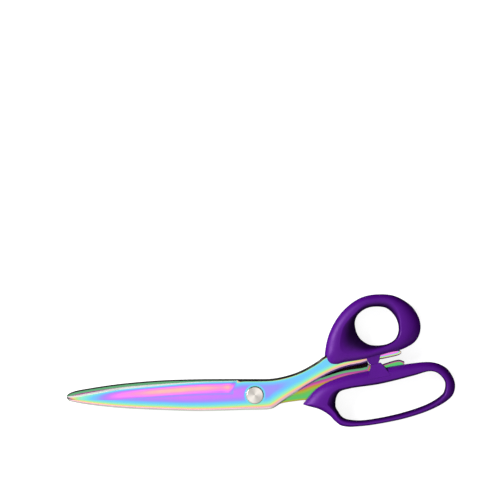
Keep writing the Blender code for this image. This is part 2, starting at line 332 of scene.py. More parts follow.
    @staticmethod
    def finish(
        piece: bpy.types.Object, material: bpy.types.Material, body: Body, node: str, slot: Slot
    ) -> None:
        """Dress a piece, tie it to its body and hide the CAD node that it stands for.

        Args:
            piece: the finished mesh.
            material: the only material that it wears.
            body: the body that it rides on.
            node: the CAD node that it stands for.
            slot: not used.
        """
        piece.data.materials.clear()
        piece.data.materials.append(material)
        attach(piece, body.value)
        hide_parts(node)
        LOG.info("%s rides on %s: %d faces", piece.name, body.value, len(piece.data.polygons))


# ---------------------------------------------------------------- finishes


class Nodes:
    """A node tree, and short ways to add to it."""

    def __init__(self, tree: bpy.types.NodeTree) -> None:
        """Take the tree to work in."""
        self.tree = tree

    def add(self, kind: str, settings: dict | None = None, **sockets: object) -> bpy.types.Node:
        """Add a node.

        Args:
            kind: the node's type, without the words ShaderNode.
            settings: properties of the node itself.
            **sockets: values or output sockets for its inputs, with _ for a space.

        Returns:
            The new node.
        """
        node = self.tree.nodes.new("ShaderNode" + kind)
        for key, value in (settings or {}).items():
            setattr(node, key, value)
        for key, value in sockets.items():
            self.feed(node, key.replace("_", " "), value)
        return node

    def feed(self, node: bpy.types.Node, name: str | int, value: object) -> None:
        """Set an input to a value, or link it to an output socket.

        Args:
            node: the node that is fed.
            name: the input's name or index.
            value: a number, a row of numbers or an output socket.
        """
        if isinstance(value, bpy.types.NodeSocket):
            self.tree.links.new(value, node.inputs[name])
        else:
            node.inputs[name].default_value = value

    def math(
        self, operation: str, first: object, second: object = 0.0, third: object = 0.0
    ) -> bpy.types.NodeSocket:
        """Work out a sum.

        Args:
            operation: the Math node's operation.
            first: its first value or socket.
            second: its second value or socket.
            third: its third value or socket.

        Returns:
            The result's socket.
        """
        node = self.add("Math", {"operation": operation})
        for index, value in enumerate((first, second, third)):
            self.feed(node, index, value)
        return node.outputs[0]

    def rise(
        self, value: bpy.types.NodeSocket, low: float, high: float, top: float = 1.0
    ) -> bpy.types.NodeSocket:
        """Bring a value from low and high to 0 and top, smoothly.

        Args:
            value: the value's socket.
            low: what becomes 0.
            high: what becomes top.
            top: the largest result.

        Returns:
            The result's socket.
        """
        node = self.add("MapRange", {"interpolation_type": "SMOOTHSTEP"}, Value=value)
        for key, number in (("From Min", low), ("From Max", high), ("To Max", top)):
            node.inputs[key].default_value = number
        return node.outputs[0]


class Sheet(Nodes):
    """A material with a Principled shader, and short ways to dress it."""

    def __init__(self, name: str) -> None:
        """Start a material with only a Principled shader.

        Args:
            name: the material's name.
        """
        self.material = bpy.data.materials.new(name)
        self.material.use_nodes = True
        super().__init__(self.material.node_tree)
        self.shader = self.tree.nodes["Principled BSDF"]

    def set(self, **sockets: object) -> None:
        """Set or link the shader's inputs, with _ for a space in a name."""
        for key, value in sockets.items():
            self.feed(self.shader, key.replace("_", " "), value)

    def place(self, scale: Row = (1, 1, 1)) -> bpy.types.NodeSocket:
        """Object coordinates, stretched."""
        where = self.add("TexCoord").outputs["Object"]
        return self.add("Mapping", Vector=where, Scale=scale).outputs[0]

    def noise(
        self, scale: float, detail: float = 3.0, stretch: Row = (1, 1, 1)
    ) -> bpy.types.NodeSocket:
        """Noise of a scale in waves to the metre."""
        node = self.add("TexNoise", Vector=self.place(stretch), Scale=scale, Detail=detail)
        return node.outputs["Fac"]

    def spread(self, value: bpy.types.NodeSocket, low: float, high: float) -> bpy.types.NodeSocket:
        """Bring noise, which lies mostly between 0.3 and 0.7, to a wanted span.

        Args:
            value: the noise.
            low: what 0.3 becomes.
            high: what 0.7 becomes.

        Returns:
            The result's socket.
        """
        node = self.add("MapRange", Value=value)
        ends = {"From Min": 0.3, "From Max": 0.7, "To Min": low, "To Max": high}
        for key, number in ends.items():
            node.inputs[key].default_value = number
        return node.outputs[0]

    def number(self, name: str) -> bpy.types.NodeSocket:
        """A number stored on the mesh."""
        return self.add("Attribute", {"attribute_name": name}).outputs["Fac"]

    def ramp(self, value: bpy.types.NodeSocket, stops: Rows) -> bpy.types.NodeSocket:
        """Turn a value into a colour.

        Args:
            value: the value's socket.
            stops: (position, red, green, blue) rows, with colours from 0 to 255.

        Returns:
            The colour's socket.
        """
        node = self.add("ValToRGB", Fac=value)
        band = node.color_ramp
        while len(band.elements) < len(stops):
            band.elements.new(0.5)
        for element, (position, *colour) in zip(band.elements, stops):
            element.position = position
            element.color = linear(tuple(colour))
        return node.outputs[0]

    def mix(self, share: object, first: object, second: object) -> bpy.types.NodeSocket:
        """Mix two colours.

        Args:
            share: how much of the second colour.
            first: the first colour.
            second: the second colour.

        Returns:
            The mixed colour's socket.
        """
        node = self.add("Mix", {"data_type": "RGBA"})
        self.feed(node, 0, share)
        self.feed(node, 6, first)
        self.feed(node, 7, second)
        return node.outputs[2]

    def bump(self, height: bpy.types.NodeSocket, strength: float, distance: float) -> None:
        """Give the shader a relief."""
        node = self.add("Bump", Height=height, Strength=strength, Distance=distance)
        self.feed(self.shader, "Normal", node.outputs[0])


def linear(colour: Row) -> Row:
    """A screen colour from 0 to 255 as linear light, with a full fourth value."""
    shares = (value / 255 for value in colour)
    return (*(c / 12.92 if c <= 0.04045 else ((c + 0.055) / 1.055) ** 2.4 for c in shares), 1.0)


@dataclass(frozen=True)
class FilmFinish:
    """The thin oxide film on the leaves, whose colour follows its thickness."""

    name: str = "iridescent_film"
    outer: Rows = (
        (0.00, 186, 197, 178),
        (0.06, 222, 174, 200),
        (0.12, 248, 184, 152),
        (0.17, 226, 222, 130),
        (0.22, 172, 232, 150),
        (0.28, 142, 232, 198),
        (0.36, 122, 218, 224),
        (0.45, 112, 200, 248),
        (0.54, 124, 184, 255),
        (0.62, 148, 156, 255),
        (0.70, 174, 136, 251),
        (0.78, 206, 124, 255),
        (0.86, 250, 134, 240),
        (0.93, 254, 150, 208),
        (1.00, 255, 188, 170),
    )
    inner: Rows = (
        (0.00, 96, 158, 116),
        (0.14, 98, 176, 120),
        (0.24, 150, 84, 140),
        (0.42, 208, 80, 166),
        (0.56, 196, 140, 60),
        (0.70, 164, 180, 62),
        (0.86, 112, 188, 84),
        (1.00, 88, 194, 112),
    )
    bare: Row = (250, 252, 248)
    roughness: float = 0.22

    def material(self) -> bpy.types.Material:
        """Build the material.

        Returns:
            The film, which reads the numbers film, inner and bare off the mesh.
        """
        sheet = Sheet(self.name)
        drift = sheet.spread(sheet.noise(55.0, 2.0), -0.012, 0.012)
        film = sheet.math("ADD", sheet.number("film"), drift)
        faces = sheet.ramp(film, self.outer), sheet.ramp(film, self.inner)
        colour = sheet.mix(sheet.number("inner"), *faces)
        colour = sheet.mix(sheet.number("bare"), colour, linear(self.bare))
        grain = sheet.noise(2600.0, 2.0, (1.0, 0.06, 0.06))
        worn = sheet.spread(sheet.noise(260.0, 4.0), -0.05, 0.05)
        sheet.set(Base_Color=colour, Metallic=1.0)
        sheet.set(Roughness=sheet.math("ADD", worn, self.roughness))
        sheet.bump(grain, 0.06, 0.00002)
        return sheet.material


@dataclass(frozen=True)
class PlasticFinish:
    """Deep purple moulded plastic with a fine satin texture, darkened by painted shade down the
    hollows round the holes.
    """

    name: str = "satin_purple_plastic_with_painted_shade"
    deep: Row = (58, 2, 98)
    pale: Row = (65, 4, 108)
    # hollow is painted shade: the colour that the plastic darkens to down the hollows round the
    # holes.
    hollow: Row = (22, 0, 44)
    gloss_tint: Row = (0.8, 0.42, 1.0, 1.0)
    gloss: float = 0.27
    roughness: float = 0.46

    def material(self) -> bpy.types.Material:
        """Build the material.

        Returns:
            The plastic, which reads the number hollow off the mesh as its share of painted shade.
        """
        sheet = Sheet(self.name)
        flow = sheet.spread(sheet.noise(38.0, 3.0), 0.0, 1.0)
        colour = sheet.mix(flow, linear(self.deep), linear(self.pale))
        # Painted shade: the plastic darkens towards the hole down each hollow, where shade falls.
        colour = sheet.mix(sheet.number("hollow"), colour, linear(self.hollow))
        rubbed = sheet.spread(sheet.noise(180.0, 5.0), -0.05, 0.06)
        sheet.set(Base_Color=colour, Roughness=sheet.math("ADD", rubbed, self.roughness))
        sheet.set(Specular_IOR_Level=self.gloss, Specular_Tint=self.gloss_tint)
        sheet.bump(sheet.noise(2400.0, 3.0), 0.12, 0.00004)
        return sheet.material


@dataclass(frozen=True)
class SteelFinish:
    """Bare steel, spun on a lathe and given a painted sheen of lobes round its axis, or rolled as
    sheet.
    """

    name: str
    look: SteelLook
    colour: Row
    roughness: float
    # shade dims the painted sheen's dark lobes on spun steel, and the darker random tone on rolled
    # steel.
    shade: float = 0.8

    def material(self) -> bpy.types.Material:
        """Build the material.

        Returns:
            The steel, with a painted sheen of two light lobes and fine rings if it is spun, or a
            grain along x.
        """
        sheet = Sheet(self.name)
        if self.look is SteelLook.SPUN:
            # Painted sheen: two light and two dark lobes round the axis stand in for the light that
            # spun rings catch.
            sheen_angle = sheet.add("TexGradient", {"gradient_type": "RADIAL"}, Vector=sheet.place())
            turn = sheet.math("MULTIPLY", sheen_angle.outputs["Fac"], 2 * math.tau)
            share = sheet.math("MULTIPLY_ADD", sheet.math("SINE", turn), 0.5, 0.5)
            rings = {"wave_type": "RINGS", "rings_direction": "Z"}
            wave = sheet.add("TexWave", rings, Vector=sheet.place(), Scale=900.0, Distortion=1.5)
            grain = wave.outputs["Fac"]
        else:
            share = sheet.spread(sheet.noise(700.0, 4.0, (1.0, 0.2, 1.0)), 0.0, 1.0)
            grain = sheet.noise(1800.0, 3.0, (1.0, 0.1, 1.0))
        dark = tuple(value * self.shade for value in self.colour)
        colour = sheet.mix(share, linear(dark), linear(self.colour))
        rubbed = sheet.spread(sheet.noise(400.0, 3.0), -0.04, 0.05)
        sheet.set(Base_Color=colour, Metallic=1.0)
        sheet.set(Roughness=sheet.math("ADD", rubbed, self.roughness))
        sheet.bump(grain, 0.1, 0.00003)
        return sheet.material


# ---------------------------------------------------------------- leaves


@dataclass(frozen=True)
class FilmMap:
    """Where the film is thin or thick, as (distance or x in millimetres, film) rows.

    Attributes:
        lower: film over the distance from the spine.
        lower_spread: how far lower is stretched, along the leaf.
        upper: film over the distance from the shank's upper edge.
        limit: the most film on the flat, along the shank.
        seam: the most film over the distance from the bevel's line.
        halo: the most film over the distance from the screw's head.
        tang: film over the distance from the tang's rim.
        peak: the thickest film of the bevel, along the leaf.
        bevel: film of the bevel over the distance from the edge.
        bevel_shift: how far bevel is shifted to the edge, along the leaf.
        point: the most film over the distance from the leaf's point.
        inner_top: film of the inner face over the distance from its chamfer.
        inner_foot: film of the inner face over the distance from its edge.
        inner_tang: film of the tang's inner face over the distance from its rim.
        base: film that the bevel fades to where it has no peak.
        start: x from which the flat of the shank, and not the blade, is meant.
    """

    lower: Rows = (
        (0.0, 0.0), (0.7, 0.02), (1.2, 0.08), (1.7, 0.13), (2.2, 0.19), (2.8, 0.26), (3.6, 0.34),
        (4.8, 0.49), (5.6, 0.6), (6.6, 0.69), (8.0, 0.77), (12.0, 0.83),
    )
    lower_spread: Rows = (
        (-100.0, 0.9), (-40.0, 1.0), (-10.0, 1.1), (0.0, 1.25), (12.0, 1.5), (30.0, 1.2),
    )
    upper: Rows = (
        (0.0, 0.0), (1.3, 0.02), (1.45, 0.2), (1.6, 0.27), (1.9, 0.35), (2.4, 0.43), (3.4, 0.55),
        (5.2, 0.7), (7.0, 0.84),
    )
    limit: Rows = (
        (-14.0, 0.84), (-6.0, 0.76), (4.0, 0.64), (14.0, 0.66), (24.0, 0.5), (36.0, 0.44),
        (60.0, 0.43),
    )
    seam: Rows = ((0.0, 0.66), (0.5, 0.67), (1.1, 0.76), (1.9, 0.84))
    halo: Rows = ((-1.0, 0.28), (0.2, 0.34), (0.9, 0.44), (2.0, 1.0))
    tang: Rows = (
        (0.0, 0.0), (0.6, 0.04), (0.9, 0.21), (1.5, 0.24), (2.0, 0.86), (2.6, 0.9), (5.0, 0.9),
    )
    peak: Rows = (
        (-122.0, 0.24), (-113.0, 0.33), (-108.0, 0.42), (-104.0, 0.55), (-99.0, 0.7),
        (-94.0, 0.82), (-88.0, 0.88), (-74.0, 0.95), (-60.0, 1.0), (-30.0, 0.98), (-22.0, 0.95),
        (-17.5, 1.0), (-14.5, 0.9), (-12.0, 0.78),
    )
    bevel: Rows = (
        (0.0, 0.3), (1.25, 0.34), (1.8, 0.46), (2.3, 0.66), (2.8, 0.84), (3.4, 0.92),
        (4.1, 0.97), (4.9, 1.0), (5.9, 0.98), (6.7, 0.92), (7.6, 0.84),
    )
    bevel_shift: Rows = ((-70.0, 0.0), (-20.0, 0.9))
    point: Rows = (
        (0.8, 0.02), (1.8, 0.08), (3.2, 0.11), (4.6, 0.17), (6.4, 0.22), (9.0, 0.3), (13.0, 0.4),
        (18.0, 0.6), (26.0, 1.2),
    )
    inner_top: Rows = (
        (0.0, 0.0), (1.1, 0.12), (1.6, 0.26), (2.6, 0.42), (3.6, 0.56), (4.8, 0.7), (6.0, 0.86),
        (8.0, 1.0),
    )
    inner_foot: Rows = ((0.0, 0.56), (0.5, 0.64), (1.0, 0.8), (2.0, 1.0))
    inner_tang: Rows = ((0.0, 0.24), (0.5, 0.27), (0.8, 1.0))
    base: float = 0.28
    start: float = -14.0


@dataclass
class Leaf:
    """One steel leaf: blade, pivot flat, shank and tang.

    A station is (spine x, spine y, edge x, edge y) in millimetres, and a section runs
    from the spine over the outer face to the edge and back along the inner face. All
    sizes are in millimetres, and a share is one of the leaf's width or thickness there.
    """

    name: str
    node: str
    body: Body
    outward: int
    shank: Rows
    shank_steps: tuple[int, ...]
    blade: Rows = (
        (-123.1, -2.3, -123.0, -1.1),
        (-121.6, -3.9, -121.5, -0.9),
        (-118.0, -4.9, -118.0, -0.5),
        (-107.0, -6.6, -107.0, 1.5),
        (-88.0, -8.5, -88.0, 4.8),
        (-62.0, -9.8, -62.0, 7.1),
        (-36.0, -10.5, -36.0, 8.7),
        (-13.0, -10.0, -13.0, 9.4),
        (-8.0, -9.8, -8.0, 10.2),
    )
    blade_steps: tuple[int, ...] = (4, 5, 12, 22, 30, 32, 56, 24, 12)
    tip_thickness: float = 1.5
    tip_x: float = -123.1
    full_thickness_x: float = -25.0
    chamfer_width: float = 1.2
    chamfer_slope: float = 0.8
    shoulder_width: float = 1.45
    notch_x: float = 200.0
    inner_chamfer: Rows = ((0.0, 0.3),)
    strip_width: float = 1.25
    strip_height: float = 1.35
    strip_slope: float = 0.5
    strip_span: Row = (-85.0, -20.0)
    strip_loss: float = 0.9
    bevel_width: float = 7.9
    bevel_share: float = 0.62
    narrow_share: float = 0.25
    under_share: float = 0.42
    lift_share: float = 0.76
    drop_share: float = 0.9
    strip_share: float = 0.6
    rim_height: float = 0.3
    edge_height: float = 0.05
    hollow: float = 0.05
    plunge_foot: Row = (-15.3, 1.6)
    plunge_head: Row = (-10.2, 8.9)
    plunge_wall: float = 5.0
    plunge_fade: float = 1.6
    heel_depth: float = 0.25
    heel_span: Row = (-75.0, -14.0)
    blade_end: Row = (-12.0, -9.0)
    film_end: Row = (-12.5, -9.5)
    tang_x: float = 79.0
    hole_radius: float = 3.3
    head_radius: float = 5.75
    counterbore_radius: float = 5.5
    counterbore_depth: float = 0.4
    flat_rows: int = 26
    bevel_rows: int = 24
    inner_rows: int = 26
    smooth_angle: float = 22.0
    film: FilmMap = FilmMap()
    low: float = field(init=False)
    high: float = field(init=False)

    def __post_init__(self) -> None:
        """Take the heights from the CAD leaf."""
        lowest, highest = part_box(self.node)
        self.low, self.high = lowest.z / MM, highest.z / MM

    @property
    def thickness(self) -> float:
        """Thickness at the pivot."""
        return self.high - self.low

    @property
    def inner_z(self) -> float:
        """Height of the face that meets the other leaf."""
        return self.low if self.outward > 0 else self.high

    def centre(self, x: np.ndarray | float) -> np.ndarray | float:
        """Y of the line that the bevel's ends of the two closed leaves are mirrored on."""
        return 0.3 + 0.013 * x

    def stations(self) -> np.ndarray:
        """All stations, from the tip to the tang's end."""
        return smooth(self.blade + self.shank, self.blade_steps + self.shank_steps)

    def section(self, station: np.ndarray) -> np.ndarray:
        """One cross-section of the leaf.

        Args:
            station: spine and edge points, in millimetres.

        Returns:
            The section's points, in millimetres.
        """
        spine, edge = station[:2], station[2:]
        width = float(np.linalg.norm(edge - spine))
        across = (edge - spine) / width
        narrow = width * self.narrow_share
        x = float(spine[0] + edge[0]) / 2
        full = float(ease(x, self.tip_x, self.full_thickness_x))
        thick = self.tip_thickness + (self.thickness - self.tip_thickness) * full
        blade = 1 - float(ease(x, *self.blade_end))
        chamfer = min(self.chamfer_width, narrow)
        strip = min(float(self.ground_strip(x)), narrow)
        strip = blade * strip + (1 - blade) * min(self.shoulder_width, narrow)
        bevel = max(min(self.bevel_width, width * self.bevel_share), strip + 0.2)
        flat_end = width - bevel
        under = min(look_up(x, self.inner_chamfer), self.under_share * width)
        lift = min(self.chamfer_slope * under, self.lift_share * thick)
        drop = min(self.chamfer_slope * chamfer, self.drop_share * (thick - lift))

        rows = [(0.0, lift), (0.0, thick - drop)]
        rows += [(chamfer * k / 4, thick - drop * (1 - k / 4)) for k in (1, 2, 3)]
        rows.append((chamfer, thick - 0.03))
        start = chamfer + 0.12
        for k in range(self.flat_rows):
            share = (k / self.flat_rows) ** 1.6
            rows.append((start + (flat_end - start) * share, thick))
        for k in range(self.bevel_rows):
            share = k / self.bevel_rows
            u = flat_end + (bevel - strip) * share
            rows.append((u, self.bevel_level(spine + across * u, share, thick, blade, x)))
        crown = self.bevel_level(edge - across * strip, 1.0, thick, blade, x)
        keen = max(crown - self.strip_slope * strip, 0.1)
        foot = blade * keen + (1 - blade) * (thick - self.chamfer_slope * strip)
        for k in range(5):
            rows.append((width - strip * (1 - k / 4), crown + (foot - crown) * k / 4))
        rim = min(self.rim_height, foot * self.strip_share)
        rows.append((width, rim * (1 - blade) + self.edge_height * blade))
        for k in range(self.inner_rows):
            share = 1 - (k / (self.inner_rows - 1))
            rows.append((under + 0.1 + (width - under - 0.25) * share**1.5, 0.0))
        rows += [(under * (1 - k / 4), lift * k / 4) for k in range(4)]
        return np.array(
            [(*(spine + across * u), self.inner_z + self.outward * h) for u, h in rows]
        )

    def bevel_level(
        self, where: np.ndarray, share: float, thick: float, blade: float, x: float
    ) -> float:
        """Height of the outer face in the hollow-ground bevel.

        Args:
            where: the point in plan, in millimetres.
            share: 0 at the bevel's line and 1 at the ground edge.
            thick: the leaf's thickness there.
            blade: 1 on the blade and 0 on the shank.
            x: place of the section along the leaf.

        Returns:
            The height above the inner face.
        """
        depth = 1 - (1 - self.heel_depth) * float(ease(x, *self.heel_span))
        strip_top = thick - depth * (thick - min(self.strip_height, self.strip_share * thick))
        straight = thick + (strip_top - thick) * share
        ground = straight - self.hollow * thick * math.sin(math.pi * share)
        inside = float(ease(self.past_plunge(where), 0.0, self.plunge_wall)) * blade
        return thick - (thick - ground) * inside

    def past_plunge(self, plan: np.ndarray) -> np.ndarray:
        """How far points lie on the tip's side of the slanted end of the bevel.

        Args:
            plan: one x, y pair, or one a line, in millimetres.

        Returns:
            The distances, in millimetres.
        """
        foot, head = (
            np.array((x, y if self.outward > 0 else 2 * self.centre(x) - y))
            for x, y in (self.plunge_foot, self.plunge_head)
        )
        along = (head - foot) / np.linalg.norm(head - foot)
        return (plan - foot) @ np.array((-along[1], along[0])) * self.outward

    def ground_strip(self, x: np.ndarray | float) -> np.ndarray | float:
        """Width of the bare ground strip along the cutting edge."""
        return self.strip_width * (1 - self.strip_loss * ease(x, *self.strip_span))

    def build(self) -> bpy.types.Object:
        """Model the leaf: a grid drawn out through the sections, closed, bored and painted.

        Returns:
            The finished leaf, still without its material.
        """
        sections = np.array([self.section(station) for station in self.stations()])
        piece = Bench.lofted(self.name, np.concatenate([sections, sections[:, :1]], axis=1))
        self.bore(piece)
        self.paint(piece)
        Bench.shade(piece, self.smooth_angle)
        return piece

    def bore(self, piece: bpy.types.Object) -> None:
        """Cut the pivot hole and the counterbore of the slip washer.

        Args:
            piece: the closed leaf.
        """
        middle, reach = (self.low + self.high) / 2, 6.0
        ends = (middle - reach) * MM, (middle + reach) * MM
        Bench.boolean(piece, Bench.cylinder(self.hole_radius * MM, *ends))
        outside = self.inner_z - self.outward * reach / 2
        ends = sorted((outside, self.inner_z + self.outward * self.counterbore_depth))
        ends = ends[0] * MM, ends[1] * MM
        Bench.boolean(piece, Bench.cylinder(self.counterbore_radius * MM, *ends))

    def paint(self, piece: bpy.types.Object) -> None:
        """Store the film's thickness, and where the steel is bare, on the mesh.

        Args:
            piece: the bored leaf.
        """
        places = np.empty(len(piece.data.vertices) * 3, np.float32)
        piece.data.vertices.foreach_get("co", places)
        places = places.reshape(-1, 3) / MM
        plan, x = places[:, :2].astype(float), places[:, 0].astype(float)
        height = (places[:, 2] - self.inner_z) * self.outward
        stations = self.stations()
        from_spine = distance_to(plan, stations[:, :2])
        from_edge = distance_to(plan, stations[:, 2:])
        width = from_spine + from_edge
        outer = (height > 0.08).astype(float)
        blade = 1 - ease(x, *self.film_end)

        line = np.minimum(self.bevel_width, self.bevel_share * width)
        in_bevel = ease(line - from_edge, -0.15, 0.35) * blade
        in_bevel *= ease(self.past_plunge(plan), 0.0, self.plunge_fade)
        flat = self.flat_film(plan, from_spine, from_edge)
        film = flat * (1 - in_bevel) + self.bevel_film(x, from_edge) * in_bevel
        point = np.array((self.tip_x, self.blade[0][1]))
        film = lesser(film, look_up(np.linalg.norm(plan - point, axis=1), self.film.point))

        before_notch = distance_to(plan, stations[stations[:, 0] < self.notch_x, :2])
        from_top = np.where(x < self.tang_x, before_notch, from_spine)
        inner = self.inner_film(x, from_top - look_up(x, self.inner_chamfer), from_edge)
        strip = np.minimum(self.ground_strip(x), width * self.narrow_share)
        bare = ease(strip - from_edge, -0.12, 0.12) * blade * outer
        Bench.attribute(piece, "film", np.clip(np.where(outer > 0, film, inner), 0.0, 1.0))
        Bench.attribute(piece, "inner", 1 - outer)
        Bench.attribute(piece, "bare", bare)

    def flat_film(
        self, plan: np.ndarray, from_spine: np.ndarray, from_edge: np.ndarray
    ) -> np.ndarray:
        """Film on the flat of the outer face: thin along the edges and round the pivot.

        Args:
            plan: x, y of each point.
            from_spine: its distance from the spine.
            from_edge: its distance from the edge.

        Returns:
            The film at each point.
        """
        x, film = plan[:, 0], self.film
        on_shank = x > film.start
        lower = look_up(from_spine / look_up(x, film.lower_spread), film.lower)
        upper = np.where(on_shank, look_up(from_edge, film.upper), 1.0)
        seam = look_up(from_edge - self.bevel_width, film.seam)
        limit = np.where(on_shank, look_up(x, film.limit), seam)
        halo = look_up(np.linalg.norm(plan, axis=1) - self.head_radius, film.halo)
        shank = lesser(lesser(lower, upper), lesser(limit, halo))
        from_rim = np.minimum(from_spine, self.stations()[-1][0] - x)
        return np.where(x > self.tang_x, look_up(from_rim, film.tang), shank)

    def bevel_film(self, x: np.ndarray, from_edge: np.ndarray) -> np.ndarray:
        """Film on the hollow-ground bevel: thickest along its middle and towards the pivot.

        Args:
            x: place of each point along the leaf.
            from_edge: its distance from the edge.

        Returns:
            The film at each point.
        """
        film, base = self.film, self.film.base
        profile = look_up(from_edge + look_up(x, film.bevel_shift), film.bevel)
        return base + (profile - base) / (1 - base) * (look_up(x, film.peak) - base)

    def inner_film(
        self, x: np.ndarray, from_chamfer: np.ndarray, from_edge: np.ndarray
    ) -> np.ndarray:
        """Film on the face that meets the other leaf.

        Args:
            x: place of each point along the leaf.
            from_chamfer: its distance from the chamfer along the spine.
            from_edge: its distance from the edge.

        Returns:
            The film at each point.
        """
        film = self.film
        face = lesser(look_up(from_chamfer, film.inner_top), look_up(from_edge, film.inner_foot))
        from_rim = np.minimum(from_chamfer, self.stations()[-1][0] - x)
        return np.where(x > self.tang_x, look_up(from_rim, film.inner_tang), face)

    def dress(self, film: bpy.types.Material) -> None:
        """Build the leaf and put its film on."""
        Bench.finish(self.build(), film, self.body, self.node, Slot.COATED)


FRONT_SHANK: Rows = (
    (0.0, -9.7, 0.0, 10.3),
    (8.9, -9.4, 9.0, 10.5),
    (12.0, -8.6, 13.0, 10.9),
    (20.0, -3.1, 20.7, 12.5),
    (33.7, 5.8, 30.5, 16.0),
    (46.8, 13.1, 40.9, 21.9),
    (53.4, 16.2, 45.5, 25.2),
    (61.0, 18.6, 52.5, 26.9),
    (70.4, 20.6, 64.5, 25.6),
    (76.0, 22.5, 74.0, 26.2),
    (84.0, 23.7, 83.0, 27.7),
    (94.2, 26.2, 93.6, 29.6),
    (95.8, 27.4, 95.7, 28.5),
)
FRONT_STEPS = (12, 8, 12, 14, 14, 10, 10, 10, 8, 8, 10, 6)
REAR_BLADE: Rows = (
    (-123.1, -0.3, -123.0, -1.5),
    (-121.6, 1.0, -121.5, -1.7),
    (-118.0, 2.4, -118.0, -2.0),
    (-107.0, 4.5, -107.0, -3.7),
    (-88.0, 7.2, -88.0, -6.5),
    (-62.0, 9.4, -62.0, -8.0),
    (-36.0, 10.2, -36.0, -9.0),
    (-13.0, 10.3, -13.0, -9.1),
    (-8.0, 10.3, -8.0, -9.8),
)
REAR_SHANK: Rows = (
    (0.0, 10.3, 0.0, -9.7),
    (8.0, 10.1, 8.3, -9.4),
    (12.0, 8.9, 12.0, -8.2),
    (18.7, 6.7, 17.4, -5.6),
    (28.0, 6.9, 28.0, -3.9),
    (36.0, 9.8, 38.5, -2.4),
    (44.3, 13.4, 50.1, 4.0),
    (56.4, 17.8, 62.5, 9.1),
    (68.9, 21.0, 71.3, 11.4),
    (73.4, 22.0, 74.5, 12.2),
    (74.5, 20.2, 75.6, 12.4),
    (75.6, 19.4, 77.0, 12.7),
    (79.0, 18.2, 81.0, 13.4),
    (84.8, 20.4, 86.7, 14.8),
    (94.5, 22.9, 95.0, 17.2),
    (97.9, 21.8, 97.8, 19.4),
)
REAR_STEPS = (12, 8, 12, 12, 12, 12, 12, 12, 8, 6, 6, 4, 8, 10, 8)
REAR_CHAMFER: Rows = ((38.0, 0.9), (46.0, 2.0), (59.5, 2.7), (70.0, 3.7), (73.6, 4.0), (75.0, 0.6))


# ---------------------------------------------------------------- bows


